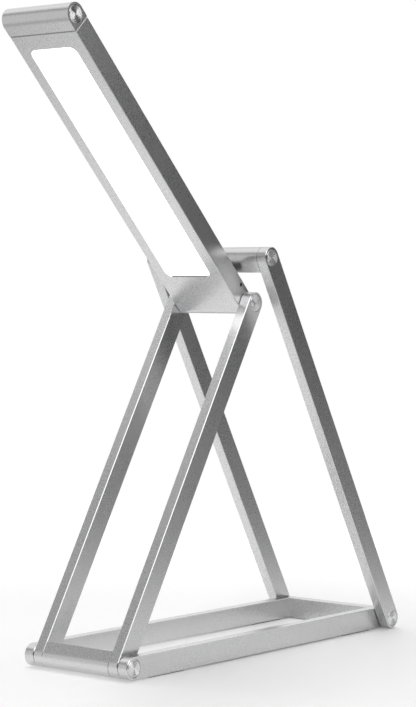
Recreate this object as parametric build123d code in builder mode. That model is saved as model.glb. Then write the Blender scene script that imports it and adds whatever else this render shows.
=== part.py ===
"""Folding desk lamp: four nested frames of aluminium bar, the smallest of which is the light head.

Millimetres and degrees. +Z is up, +X runs along the base from the front hinge to the rear hinge, and
-Y is the near side. The origin is on the table, under the middle of the lamp in its working position.
"""
import math
import os

from build123d import *

# Frames and bars
BAR_DEPTH = 14.0  # of every bar, seen from the side
BAR_WIDTH = 7.3  # of a leg or rail, along Y
EDGE_BEVEL = 0.4
HEAD_WIDTH = 52.0
HINGE_SPAN = 268.5  # between the two hinges of the base
SIDE_CLEARANCE = 0.3  # between neighbouring frames, side by side
END_GAP = 2.5  # between neighbouring frames, end to end, when folded flat

# Working position, in degrees above the table
FRONT_ANGLE = 59.5
REAR_ANGLE = 59.6
HEAD_ANGLE = 45.0

# Fits
FIT_CLEARANCE = 0.05  # radial, between pieces that are fixed together
RUNNING_CLEARANCE = 0.05  # radial, between a pin and its bush
HEAD_CLEARANCE = 0.3  # radial, round a screw or pin head
AXIAL_PLAY = 0.05  # between faces that turn on each other

# Hinges and their hardware
CAP_RADIUS = 5.6
CAP_THICKNESS = 1.4
CAP_GAP = 0.1  # round a disc cap
PIN_RADIUS = 3.0
PIN_HEAD_RADIUS = 4.3
PIN_HEAD_HEIGHT = 1.4
PIN_THREAD_RADIUS = 2.0
THREAD_GRIP = 8.0  # of a pin or screw in a cross bar
KEY_RADIUS = 1.4  # of the hexagon socket in a pin head
KEY_SIDES = 6
KEY_DEPTH = 1.0
SPRING_THICKNESS = 0.5
BUSH_WALL = 1.0
BUSH_FLANGE_RADIUS = 5.6
HEAD_GRIP = 8.0  # of a head hinge pin in the head
SCREW_HEAD_RADIUS = 3.2
SCREW_HEAD_HEIGHT = 2.0
DOWEL_RADIUS = 1.0
DOWEL_OFFSET = 4.8  # from the pivot, along the bar
DOWEL_LEG_DEPTH = 3.5
DOWEL_BAR_DEPTH = 6.0

# Feet
FOOT_LENGTH = 36.0
FOOT_WIDTH = 5.0
FOOT_INLAY = 0.7
FOOT_PROUD = 0.5
FOOT_INSET = 32.0  # from a hinge to the middle of a foot

# Head housing
FRONT_WALL = 1.2
SIDE_WALL = 1.8
TOP_WALL = 2.0
POCKET_START = 8.5  # from the pivot
POCKET_CORNER = 1.5
WINDOW_START = 30.0  # from the pivot
WINDOW_TOP_RIM = 10.5
WINDOW_SIDE_RIM = 8.0
WINDOW_CORNER = 5.0
GASKET_THICKNESS = 0.5
GASKET_INSET = 0.25
COVER_THICKNESS = 1.5
COVER_LAP = 0.9  # of the back cover over the walls
COVER_GAP = 0.1
BOSS_RADIUS = 1.7
BOSS_GAP = 0.2  # between a boss and the light parts
COVER_BOSS_START = 22.0  # from the pivot
COVER_BOSS_END = 5.0  # from the top wall
END_SCREW_SPREAD = 14.0  # from the middle

# Small screws in the head
SMALL_SCREW_RADIUS = 1.0
SMALL_HEAD_RADIUS = 1.7
SMALL_HEAD_HEIGHT = 1.2
SMALL_SCREW_GRIP = 4.0
SINK_ANGLE = 45.0  # of a countersunk head, from its axis

# Light
DIFFUSER_THICKNESS = 1.5
DIFFUSER_LAP = 2.5  # beyond the ends of the window
GUIDE_THICKNESS = 3.0
GUIDE_LAP = 0.6  # beyond the window
SHEET_THICKNESS = 0.4
CARRIER_THICKNESS = 1.2
EAR_WIDTH = 5.0
EAR_INSET = 12.0  # from the ends of the window
LED_GAP = 0.1
LED_HEIGHT = 0.8
LED_LENGTH = 2.8
LED_WIDTH = 1.4
LED_COUNT = 15  # along each strip
STRIP_THICKNESS = 1.0

# Power and control
CELL_LENGTH = 100.0
CELL_SIDE_ROOM = 3.5  # from the cell to the edge of its carrier
CELL_ROOM = 0.7  # behind the cell, for swelling
SOCKET_UP = 12.5  # from the pivot
SOCKET_WIDTH = 4.6
SOCKET_HEIGHT = 3.0
SOCKET_LENGTH = 10.0
SOCKET_BORE_RADIUS = 1.05
SOCKET_BORE_DEPTH = 7.0
PLUG_HOLE_RADIUS = 1.15  # in the wall of the housing
BOARD_THICKNESS = 1.0
BOARD_EDGE_GAP = 0.5
BOARD_SIDE_GAP = 1.5
BOARD_POST_SPREAD = 12.0  # from the middle
BOARD_POST_INSET = 5.0  # from the upper edge of the board
CHIP_SIZE = 6.0
CHIP_HEIGHT = 1.2
COIL_SIZE = 6.5
COIL_HEIGHT = 2.2
CHIP_SPREAD = 5.0  # from the middle

# Widths of the nested frames, from the middle plane
bar_radius = BAR_DEPTH / 2
head_half = HEAD_WIDTH / 2
front_inner = head_half + SIDE_CLEARANCE
front_outer = front_inner + BAR_WIDTH
base_inner = front_outer + SIDE_CLEARANCE
base_outer = base_inner + BAR_WIDTH
rear_inner = base_outer + SIDE_CLEARANCE
rear_outer = rear_inner + BAR_WIDTH

# Lengths between pivots
front_length = HINGE_SPAN - BAR_DEPTH - END_GAP
head_length = front_length - BAR_DEPTH - END_GAP
rear_length = HINGE_SPAN + BAR_DEPTH + END_GAP


def ahead(start, angle, length):
    """Return the point that lies a length away from another, at an angle above +X."""
    turn = math.radians(angle)
    return (start[0] + length * math.cos(turn), start[1] + length * math.sin(turn))


# Pivots as (x, z), with the lamp standing in its working position and its middle over the origin
head_heading = 180 - HEAD_ANGLE
rear_heading = 180 - REAR_ANGLE
span_front = (0.0, FOOT_PROUD + bar_radius)
span_tip = ahead(ahead(span_front, FRONT_ANGLE, front_length), head_heading, head_length)
middle_x = (min(span_tip[0], 0.0) + HINGE_SPAN) / 2
front_pivot = (-middle_x, span_front[1])
rear_pivot = ahead(front_pivot, 0, HINGE_SPAN)
head_pivot = ahead(front_pivot, FRONT_ANGLE, front_length)
head_tip = ahead(head_pivot, head_heading, head_length)
rear_bar = ahead(rear_pivot, rear_heading, rear_length)


def side_plane(pivot, angle, y=0.0):
    """Return a plane across Y at a pivot: X runs at the angle above +X, and Z points to the near side."""
    turn = math.radians(angle)
    return Plane(origin=(pivot[0], y, pivot[1]), x_dir=(math.cos(turn), 0, math.sin(turn)), z_dir=(0, -1, 0))


# Outer faces of the hinge stacks on the near side, with X along the bar that the cross bar belongs to
front_hinge_face = side_plane(front_pivot, FRONT_ANGLE, -base_outer)
rear_hinge_face = side_plane(rear_pivot, 180, -rear_outer)
head_hinge_face = side_plane(head_pivot, FRONT_ANGLE, -front_outer)
rear_bar_face = side_plane(rear_bar, -REAR_ANGLE, -rear_outer)
end_cap_face = side_plane(head_tip, -HEAD_ANGLE, -head_half)

# Depths in a hinge stack, below its outer face
bush_radius = PIN_RADIUS + RUNNING_CLEARANCE + BUSH_WALL
pin_head_start = CAP_THICKNESS + AXIAL_PLAY
pin_head_end = pin_head_start + PIN_HEAD_HEIGHT
spring_start = pin_head_end + AXIAL_PLAY
bush_start = spring_start + SPRING_THICKNESS
shoulder_end = BAR_WIDTH + SIDE_CLEARANCE
flange_end = shoulder_end - AXIAL_PLAY
clamped_end = shoulder_end + BAR_WIDTH
thread_end = clamped_end + THREAD_GRIP
grip_end = shoulder_end + HEAD_GRIP
screw_head_start = CAP_THICKNESS + AXIAL_PLAY
screw_head_end = screw_head_start + SCREW_HEAD_HEIGHT
screw_end = BAR_WIDTH + THREAD_GRIP


def disc(plane, radius, start, end, at=(0, 0), mode=Mode.ADD):
    """Add or cut a round slug square to a plane, between two depths below it."""
    with BuildSketch(plane.offset(-start)) as profile:
        with Locations(at):
            Circle(radius)
    extrude(profile.sketch, amount=start - end, mode=mode)


def bar(plane, length):
    """Add a leg or rail with round ends, its first pivot at the plane's origin."""
    with BuildSketch(plane) as profile:
        with Locations((length / 2, 0)):
            SlotCenterToCenter(length, BAR_DEPTH)
    extrude(profile.sketch, amount=BAR_WIDTH)


def cross_bar(plane, half_width):
    """Add a bar along Y that is round towards the plane's -X and square with bevelled edges towards +X."""
    square = bar_radius - EDGE_BEVEL
    with BuildSketch(plane) as profile:
        with BuildLine():
            Polyline((0, bar_radius), (square, bar_radius), (bar_radius, square))
            Polyline((bar_radius, square), (bar_radius, -square), (square, -bar_radius), (0, -bar_radius))
            ThreePointArc((0, -bar_radius), (-bar_radius, 0), (0, bar_radius))
        make_face()
    extrude(profile.sketch, amount=half_width, both=True)


def cut_hinge_seat(face):
    """Cut the seat for a cap, pin head, spring and bush through a bar."""
    disc(face, CAP_RADIUS, 0, CAP_THICKNESS, mode=Mode.SUBTRACT)
    disc(face, PIN_HEAD_RADIUS + HEAD_CLEARANCE, CAP_THICKNESS, bush_start, mode=Mode.SUBTRACT)
    disc(face, bush_radius, bush_start, BAR_WIDTH, mode=Mode.SUBTRACT)


def cut_clamp_hole(face, start, end):
    """Cut the clearance hole of a pin's thread."""
    disc(face, PIN_THREAD_RADIUS + FIT_CLEARANCE, start, end, mode=Mode.SUBTRACT)


def dowel(face, joint, radius, mode):
    """Add or cut a dowel across the joint between a leg and its cross bar."""
    start = joint - DOWEL_LEG_DEPTH
    end = joint + DOWEL_BAR_DEPTH
    disc(face, radius, start, end, at=(DOWEL_OFFSET, 0), mode=mode)


def shoulder_pin(face):
    """Add a shoulder screw: a head with a hexagon socket, a bearing shoulder and a thread."""
    disc(face, PIN_HEAD_RADIUS, pin_head_start, pin_head_end)
    disc(face, PIN_RADIUS, pin_head_end, shoulder_end)
    disc(face, PIN_THREAD_RADIUS, shoulder_end, thread_end)
    with BuildSketch(face.offset(-pin_head_start)) as key:
        RegularPolygon(KEY_RADIUS, KEY_SIDES)
    extrude(key.sketch, amount=-KEY_DEPTH, mode=Mode.SUBTRACT)


def flanged_bush(face):
    """Add a bush whose flange spaces two frames apart."""
    disc(face, bush_radius - FIT_CLEARANCE, bush_start, BAR_WIDTH)
    disc(face, BUSH_FLANGE_RADIUS, BAR_WIDTH, flange_end)
    disc(face, PIN_RADIUS + RUNNING_CLEARANCE, bush_start, flange_end, mode=Mode.SUBTRACT)


def spring_washer(face):
    """Add a disc spring, pressed flat under a pin head."""
    disc(face, PIN_HEAD_RADIUS, spring_start, bush_start)
    disc(face, PIN_RADIUS + HEAD_CLEARANCE, spring_start, bush_start, mode=Mode.SUBTRACT)


def turned_cap(face):
    """Add the turned disc that covers a hinge or a screw."""
    disc(face, CAP_RADIUS - CAP_GAP, 0, CAP_THICKNESS)


# Base: two rails and the cross bar at the rear hinge
rail_middle = (base_inner + base_outer) / 2
foot_spots = [(front_pivot[0] + FOOT_INSET, -rail_middle), (rear_pivot[0] - FOOT_INSET, -rail_middle)]

with BuildPart() as base_rail_near:
    bar(side_plane(front_pivot, 0, -base_inner), HINGE_SPAN)
    chamfer(base_rail_near.faces().filter_by(Axis.Y).edges(), EDGE_BEVEL)
    cut_hinge_seat(front_hinge_face)
    cut_clamp_hole(rear_hinge_face, shoulder_end, clamped_end)
    dowel(rear_hinge_face, clamped_end, DOWEL_RADIUS + FIT_CLEARANCE, Mode.SUBTRACT)
    with BuildSketch(Plane.XY.offset(FOOT_PROUD)):
        with Locations(*foot_spots):
            SlotOverall(FOOT_LENGTH, FOOT_WIDTH)
    extrude(amount=FOOT_INLAY, mode=Mode.SUBTRACT)

with BuildPart() as base_rail_far:
    mirror(base_rail_near.part, about=Plane.XZ)

with BuildPart() as base_cross_bar:
    cross_bar(side_plane(rear_pivot, 180), base_inner)
    cut_clamp_hole(rear_hinge_face, clamped_end, thread_end + FIT_CLEARANCE)
    dowel(rear_hinge_face, clamped_end, DOWEL_RADIUS + FIT_CLEARANCE, Mode.SUBTRACT)
    mirror(about=Plane.XZ, mode=Mode.INTERSECT)

with BuildPart() as base_dowels:
    dowel(rear_hinge_face, clamped_end, DOWEL_RADIUS, Mode.ADD)
    mirror(about=Plane.XZ)

with BuildPart() as base_feet:
    with BuildSketch():
        with Locations(*foot_spots):
            SlotOverall(FOOT_LENGTH - 2 * FIT_CLEARANCE, FOOT_WIDTH - 2 * FIT_CLEARANCE)
    extrude(amount=FOOT_PROUD + FOOT_INLAY)
    mirror(about=Plane.XZ)

# Front hinge: pins fixed in the front frame turn in bushes in the base rails
with BuildPart() as front_hinge_bushes:
    flanged_bush(front_hinge_face)
    mirror(about=Plane.XZ)

with BuildPart() as front_hinge_springs:
    spring_washer(front_hinge_face)
    mirror(about=Plane.XZ)

with BuildPart() as front_hinge_caps:
    turned_cap(front_hinge_face)
    mirror(about=Plane.XZ)

with BuildPart() as front_hinge_pins:
    shoulder_pin(front_hinge_face)
    mirror(about=Plane.XZ)

# Front frame: two legs inside the base rails and the cross bar at their lower ends
with BuildPart() as front_leg_near:
    bar(side_plane(front_pivot, FRONT_ANGLE, -front_inner), front_length)
    chamfer(front_leg_near.faces().filter_by(Axis.Y).edges(), EDGE_BEVEL)
    cut_clamp_hole(front_hinge_face, shoulder_end, clamped_end)
    dowel(front_hinge_face, clamped_end, DOWEL_RADIUS + FIT_CLEARANCE, Mode.SUBTRACT)
    cut_hinge_seat(head_hinge_face)

with BuildPart() as front_leg_far:
    mirror(front_leg_near.part, about=Plane.XZ)

with BuildPart() as front_cross_bar:
    cross_bar(side_plane(front_pivot, FRONT_ANGLE), front_inner)
    cut_clamp_hole(front_hinge_face, clamped_end, thread_end + FIT_CLEARANCE)
    dowel(front_hinge_face, clamped_end, DOWEL_RADIUS + FIT_CLEARANCE, Mode.SUBTRACT)
    mirror(about=Plane.XZ, mode=Mode.INTERSECT)

with BuildPart() as front_dowels:
    dowel(front_hinge_face, clamped_end, DOWEL_RADIUS, Mode.ADD)
    mirror(about=Plane.XZ)

# Rear frame: two legs outside the base rails and the cross bar at their upper ends
with BuildPart() as rear_leg_near:
    bar(side_plane(rear_pivot, rear_heading, -rear_inner), rear_length)
    chamfer(rear_leg_near.faces().filter_by(Axis.Y).edges(), EDGE_BEVEL)
    cut_hinge_seat(rear_hinge_face)
    disc(rear_bar_face, CAP_RADIUS, 0, CAP_THICKNESS, mode=Mode.SUBTRACT)
    disc(rear_bar_face, SCREW_HEAD_RADIUS + HEAD_CLEARANCE, 0, screw_head_end, mode=Mode.SUBTRACT)
    cut_clamp_hole(rear_bar_face, 0, BAR_WIDTH)
    dowel(rear_bar_face, BAR_WIDTH, DOWEL_RADIUS + FIT_CLEARANCE, Mode.SUBTRACT)

with BuildPart() as rear_leg_far:
    mirror(rear_leg_near.part, about=Plane.XZ)

with BuildPart() as rear_cross_bar:
    cross_bar(side_plane(rear_bar, -REAR_ANGLE), rear_inner)
    cut_clamp_hole(rear_bar_face, BAR_WIDTH, screw_end + FIT_CLEARANCE)
    dowel(rear_bar_face, BAR_WIDTH, DOWEL_RADIUS + FIT_CLEARANCE, Mode.SUBTRACT)
    mirror(about=Plane.XZ, mode=Mode.INTERSECT)

with BuildPart() as rear_dowels:
    dowel(rear_bar_face, BAR_WIDTH, DOWEL_RADIUS, Mode.ADD)
    mirror(about=Plane.XZ)

with BuildPart() as rear_bar_screws:
    disc(rear_bar_face, SCREW_HEAD_RADIUS, screw_head_start, screw_head_end)
    disc(rear_bar_face, PIN_THREAD_RADIUS, screw_head_end, screw_end)
    with BuildSketch(rear_bar_face.offset(-screw_head_start)):
        RegularPolygon(KEY_RADIUS, KEY_SIDES)
    extrude(amount=-KEY_DEPTH, mode=Mode.SUBTRACT)
    mirror(about=Plane.XZ)

with BuildPart() as rear_bar_caps:
    turned_cap(rear_bar_face)
    mirror(about=Plane.XZ)

# Rear hinge: pins fixed in the base turn in bushes in the rear legs
with BuildPart() as rear_hinge_bushes:
    flanged_bush(rear_hinge_face)
    mirror(about=Plane.XZ)

with BuildPart() as rear_hinge_springs:
    spring_washer(rear_hinge_face)
    mirror(about=Plane.XZ)

with BuildPart() as rear_hinge_caps:
    turned_cap(rear_hinge_face)
    mirror(about=Plane.XZ)

with BuildPart() as rear_hinge_pins:
    shoulder_pin(rear_hinge_face)
    mirror(about=Plane.XZ)

# Head hinge: pins that turn in bushes in the front legs and in the head
with BuildPart() as head_hinge_bushes:
    flanged_bush(head_hinge_face)
    mirror(about=Plane.XZ)

with BuildPart() as head_hinge_springs:
    spring_washer(head_hinge_face)
    mirror(about=Plane.XZ)

with BuildPart() as head_hinge_caps:
    turned_cap(head_hinge_face)
    mirror(about=Plane.XZ)

with BuildPart() as head_hinge_pins:
    disc(head_hinge_face, PIN_HEAD_RADIUS, pin_head_start, pin_head_end)
    disc(head_hinge_face, PIN_RADIUS, pin_head_end, grip_end - AXIAL_PLAY)
    mirror(about=Plane.XZ)

with BuildPart() as head_pivot_bushes:
    disc(head_hinge_face, bush_radius - FIT_CLEARANCE, shoulder_end, grip_end)
    disc(head_hinge_face, PIN_RADIUS + RUNNING_CLEARANCE, shoulder_end, grip_end, mode=Mode.SUBTRACT)
    mirror(about=Plane.XZ)

# Head, laid out from its pivot: X up the head, Y across it, Z out of its light side
head_turn = math.radians(HEAD_ANGLE)
head_plane = Plane(
    origin=(head_pivot[0], 0, head_pivot[1]),
    x_dir=(-math.cos(head_turn), 0, math.sin(head_turn)),
    z_dir=(-math.sin(head_turn), 0, -math.cos(head_turn)),
)
housing_length = head_length - bar_radius - GASKET_THICKNESS
pocket_end = housing_length - TOP_WALL
pocket_length = pocket_end - POCKET_START
pocket_middle = (POCKET_START + pocket_end) / 2
pocket_half = head_half - SIDE_WALL
window_end = housing_length - WINDOW_TOP_RIM
window_length = window_end - WINDOW_START
window_middle = (WINDOW_START + window_end) / 2
window_half = head_half - WINDOW_SIDE_RIM

# Depths of the layers, from the middle plane of the head
wall_back = bar_radius - FRONT_WALL
diffuser_back = wall_back - DIFFUSER_THICKNESS
guide_back = diffuser_back - GUIDE_THICKNESS
sheet_back = guide_back - SHEET_THICKNESS
carrier_back = sheet_back - CARRIER_THICKNESS
cover_front = COVER_THICKNESS - bar_radius
cell_back = cover_front + CELL_ROOM
socket_depth = cover_front + SOCKET_HEIGHT / 2
board_back = cover_front + SOCKET_HEIGHT
board_front = board_back + BOARD_THICKNESS

# Widths of the light parts, from the middle plane of the lamp
guide_half = window_half + GUIDE_LAP
led_inner = guide_half + LED_GAP
strip_inner = led_inner + LED_HEIGHT
strip_outer = strip_inner + STRIP_THICKNESS
boss_y = strip_outer + BOSS_GAP + BOSS_RADIUS
guide_length = window_length + 2 * GUIDE_LAP
diffuser_length = window_length + 2 * DIFFUSER_LAP

# Places of the screws in the head
cover_spots = [
    (x, side * boss_y)
    for x in (COVER_BOSS_START, pocket_middle, pocket_end - COVER_BOSS_END)
    for side in (-1, 1)
]
ear_spots = [
    (x, side * boss_y)
    for x in (WINDOW_START + EAR_INSET, window_end - EAR_INSET)
    for side in (-1, 1)
]
board_start = POCKET_START + BOARD_EDGE_GAP
board_end = WINDOW_START - DIFFUSER_LAP - BOARD_EDGE_GAP
board_middle = (board_start + board_end) / 2
board_half = strip_outer - BOARD_SIDE_GAP
post_spots = [(board_end - BOARD_POST_INSET, side * BOARD_POST_SPREAD) for side in (-1, 1)]
end_plane = Plane(
    origin=head_plane.from_local_coords((housing_length, 0, 0)),
    x_dir=(0, 1, 0),
    z_dir=head_plane.x_dir,
)
end_spots = [(side * END_SCREW_SPREAD, 0) for side in (-1, 1)]
socket_face = side_plane(head_pivot, head_heading, -pocket_half)
socket_at = (SOCKET_UP, socket_depth)


def slab(middle, length, half_width, low, high, mode=Mode.ADD, corner=0.0):
    """Add or cut a flat layer of the head between two depths."""
    with BuildSketch(head_plane.offset(low)) as profile:
        with Locations((middle, 0)):
            if corner:
                RectangleRounded(length, 2 * half_width, corner)
            else:
                Rectangle(length, 2 * half_width)
    extrude(profile.sketch, amount=high - low, mode=mode)


def posts(spots, radius, low, high, mode=Mode.ADD):
    """Add or cut round posts square to the head's light side, between two depths."""
    with BuildSketch(head_plane.offset(low)) as profile:
        with Locations(*spots):
            Circle(radius)
    extrude(profile.sketch, amount=high - low, mode=mode)


small_hole_radius = SMALL_SCREW_RADIUS + FIT_CLEARANCE
sink_depth = (SMALL_HEAD_RADIUS - SMALL_SCREW_RADIUS) / math.tan(math.radians(SINK_ANGLE))

with BuildPart() as head_housing:
    with BuildSketch(side_plane(head_pivot, head_heading)):
        Circle(bar_radius)
        with Locations((housing_length / 2, 0)):
            Rectangle(housing_length, BAR_DEPTH)
    extrude(amount=head_half, both=True)
    chamfer(head_housing.faces().filter_by(Axis.Y).edges(), EDGE_BEVEL)
    slab(pocket_middle, pocket_length, pocket_half, -bar_radius, wall_back, Mode.SUBTRACT, POCKET_CORNER)
    slab(
        pocket_middle,
        pocket_length + 2 * COVER_LAP,
        pocket_half + COVER_LAP,
        -bar_radius,
        cover_front,
        Mode.SUBTRACT,
        POCKET_CORNER,
    )
    slab(window_middle, window_length, window_half, wall_back, bar_radius, Mode.SUBTRACT, WINDOW_CORNER)
    posts(cover_spots, BOSS_RADIUS, cover_front, wall_back)
    posts(ear_spots, BOSS_RADIUS, sheet_back, wall_back)
    posts(post_spots, BOSS_RADIUS, board_front, wall_back)
    posts(cover_spots, small_hole_radius, cover_front, cover_front + SMALL_SCREW_GRIP, Mode.SUBTRACT)
    posts(ear_spots, small_hole_radius, sheet_back, sheet_back + SMALL_SCREW_GRIP, Mode.SUBTRACT)
    posts(post_spots, small_hole_radius, board_front, board_front + SMALL_SCREW_GRIP, Mode.SUBTRACT)
    for spot in end_spots:
        disc(end_plane, small_hole_radius, 0, TOP_WALL, at=spot, mode=Mode.SUBTRACT)
    disc(socket_face, PLUG_HOLE_RADIUS, 0, -SIDE_WALL, at=socket_at, mode=Mode.SUBTRACT)
    disc(head_hinge_face, bush_radius, shoulder_end, grip_end, mode=Mode.SUBTRACT)
    far_start = 2 * front_outer - grip_end
    disc(head_hinge_face, bush_radius, far_start, far_start + HEAD_GRIP, mode=Mode.SUBTRACT)

with BuildPart() as head_back_cover:
    slab(
        pocket_middle,
        pocket_length + 2 * (COVER_LAP - COVER_GAP),
        pocket_half + COVER_LAP - COVER_GAP,
        -bar_radius,
        cover_front,
        corner=POCKET_CORNER,
    )
    posts(cover_spots, small_hole_radius, -bar_radius, cover_front, Mode.SUBTRACT)
    with BuildSketch(head_plane.offset(-bar_radius)):
        with Locations(*cover_spots):
            Circle(SMALL_HEAD_RADIUS + FIT_CLEARANCE)
    extrude(amount=sink_depth, taper=SINK_ANGLE, mode=Mode.SUBTRACT)

with BuildPart() as cover_screws:
    with BuildSketch(head_plane.offset(-bar_radius)):
        with Locations(*cover_spots):
            Circle(SMALL_HEAD_RADIUS)
    extrude(amount=sink_depth, taper=SINK_ANGLE)
    posts(cover_spots, SMALL_SCREW_RADIUS, sink_depth - bar_radius, cover_front + SMALL_SCREW_GRIP)

# End cap of the head, with the seam under it
with BuildPart() as end_cap_gasket:
    with BuildSketch(end_plane):
        Rectangle(HEAD_WIDTH - 2 * GASKET_INSET, BAR_DEPTH - 2 * GASKET_INSET)
        with Locations(*end_spots):
            Circle(small_hole_radius, mode=Mode.SUBTRACT)
    extrude(amount=GASKET_THICKNESS)

with BuildPart() as head_end_cap:
    cross_bar(side_plane(head_tip, -HEAD_ANGLE), head_half)
    disc(end_cap_face, CAP_RADIUS, 0, CAP_THICKNESS, mode=Mode.SUBTRACT)
    mirror(about=Plane.XZ, mode=Mode.INTERSECT)
    with BuildSketch(end_plane.offset(GASKET_THICKNESS)):
        with Locations(*end_spots):
            Circle(small_hole_radius)
    extrude(amount=SMALL_SCREW_GRIP, mode=Mode.SUBTRACT)

with BuildPart() as end_cap_screws:
    for spot in end_spots:
        disc(end_plane, SMALL_HEAD_RADIUS, TOP_WALL, TOP_WALL + SMALL_HEAD_HEIGHT, at=spot)
        disc(end_plane, SMALL_SCREW_RADIUS, -GASKET_THICKNESS - SMALL_SCREW_GRIP, TOP_WALL, at=spot)

with BuildPart() as end_cap_discs:
    turned_cap(end_cap_face)
    mirror(about=Plane.XZ)

# Light parts, from the window to the back
with BuildPart() as diffuser:
    slab(window_middle, diffuser_length, strip_outer, diffuser_back, wall_back)

with BuildPart() as light_guide:
    slab(window_middle, guide_length, guide_half, guide_back, diffuser_back)

with BuildPart() as reflector_sheet:
    slab(window_middle, guide_length, strip_outer, sheet_back, guide_back)

with BuildPart() as led_strips:
    with BuildSketch(head_plane.offset(guide_back)):
        with Locations((window_middle, strip_inner + STRIP_THICKNESS / 2)):
            Rectangle(guide_length, STRIP_THICKNESS)
    extrude(amount=GUIDE_THICKNESS)
    mirror(about=Plane.XZ)

with BuildPart() as leds:
    with BuildSketch(head_plane.offset((guide_back + diffuser_back - LED_WIDTH) / 2)):
        with Locations((window_middle, led_inner + LED_HEIGHT / 2)):
            with GridLocations(guide_length / LED_COUNT, 0, LED_COUNT, 1):
                Rectangle(LED_LENGTH, LED_HEIGHT)
    extrude(amount=LED_WIDTH)
    mirror(about=Plane.XZ)

with BuildPart() as light_carrier:
    slab(window_middle, diffuser_length, strip_outer, carrier_back, sheet_back)
    for spot in ear_spots[::2]:
        slab(spot[0], EAR_WIDTH, pocket_half - COVER_GAP, carrier_back, sheet_back)
    posts(ear_spots, small_hole_radius, carrier_back, sheet_back, Mode.SUBTRACT)

with BuildPart() as carrier_screws:
    posts(ear_spots, SMALL_HEAD_RADIUS, carrier_back - SMALL_HEAD_HEIGHT, carrier_back)
    posts(ear_spots, SMALL_SCREW_RADIUS, carrier_back, sheet_back + SMALL_SCREW_GRIP)

# Power and control
with BuildPart() as battery_cell:
    slab(window_middle, CELL_LENGTH, strip_outer - CELL_SIDE_ROOM, cell_back, carrier_back)

with BuildPart() as control_board:
    slab(board_middle, board_end - board_start, board_half, board_back, board_front)
    posts(post_spots, small_hole_radius, board_back, board_front, Mode.SUBTRACT)
    with BuildSketch(head_plane.offset(board_back)):
        with Locations((board_middle, CHIP_SPREAD)):
            Rectangle(CHIP_SIZE, CHIP_SIZE)
    extrude(amount=-CHIP_HEIGHT)
    with BuildSketch(head_plane.offset(board_back)):
        with Locations((board_middle, -CHIP_SPREAD)):
            Rectangle(COIL_SIZE, COIL_SIZE)
    extrude(amount=-COIL_HEIGHT)

with BuildPart() as board_screws:
    posts(post_spots, SMALL_HEAD_RADIUS, board_back - SMALL_HEAD_HEIGHT, board_back)
    posts(post_spots, SMALL_SCREW_RADIUS, board_back, board_front + SMALL_SCREW_GRIP)

with BuildPart() as charging_socket:
    with BuildSketch(socket_face):
        with Locations(socket_at):
            Rectangle(SOCKET_WIDTH, SOCKET_HEIGHT)
    extrude(amount=-SOCKET_LENGTH)
    disc(socket_face, SOCKET_BORE_RADIUS, 0, SOCKET_BORE_DEPTH, at=socket_at, mode=Mode.SUBTRACT)

pieces = {
    "base_rail_near": base_rail_near,
    "base_rail_far": base_rail_far,
    "base_cross_bar": base_cross_bar,
    "base_dowels": base_dowels,
    "base_feet": base_feet,
    "front_hinge_bushes": front_hinge_bushes,
    "front_hinge_springs": front_hinge_springs,
    "front_hinge_caps": front_hinge_caps,
    "front_hinge_pins": front_hinge_pins,
    "front_leg_near": front_leg_near,
    "front_leg_far": front_leg_far,
    "front_cross_bar": front_cross_bar,
    "front_dowels": front_dowels,
    "rear_leg_near": rear_leg_near,
    "rear_leg_far": rear_leg_far,
    "rear_cross_bar": rear_cross_bar,
    "rear_dowels": rear_dowels,
    "rear_bar_screws": rear_bar_screws,
    "rear_bar_caps": rear_bar_caps,
    "rear_hinge_bushes": rear_hinge_bushes,
    "rear_hinge_springs": rear_hinge_springs,
    "rear_hinge_caps": rear_hinge_caps,
    "rear_hinge_pins": rear_hinge_pins,
    "head_hinge_bushes": head_hinge_bushes,
    "head_hinge_springs": head_hinge_springs,
    "head_hinge_caps": head_hinge_caps,
    "head_hinge_pins": head_hinge_pins,
    "head_pivot_bushes": head_pivot_bushes,
    "head_housing": head_housing,
    "head_back_cover": head_back_cover,
    "cover_screws": cover_screws,
    "end_cap_gasket": end_cap_gasket,
    "head_end_cap": head_end_cap,
    "end_cap_screws": end_cap_screws,
    "end_cap_discs": end_cap_discs,
    "diffuser": diffuser,
    "light_guide": light_guide,
    "reflector_sheet": reflector_sheet,
    "led_strips": led_strips,
    "leds": leds,
    "light_carrier": light_carrier,
    "carrier_screws": carrier_screws,
    "battery_cell": battery_cell,
    "control_board": control_board,
    "board_screws": board_screws,
    "charging_socket": charging_socket,
}

os.makedirs("parts", exist_ok=True)
for name, piece in pieces.items():
    piece.part.label = name
    export_step(piece.part, f"parts/{name}.step")
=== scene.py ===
"""Looks of the folding desk lamp: finishes for its pieces, turned discs, screws, studio and camera.

Metres, in the lamp's own frame: +Z up, +X along the base to the rear hinge, -Y the near side.
"""
import logging
import math
from dataclasses import dataclass
from enum import Enum, IntEnum
from typing import Callable, Iterator, Sequence

import bmesh
import bpy
from mathutils import Matrix, Vector


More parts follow.
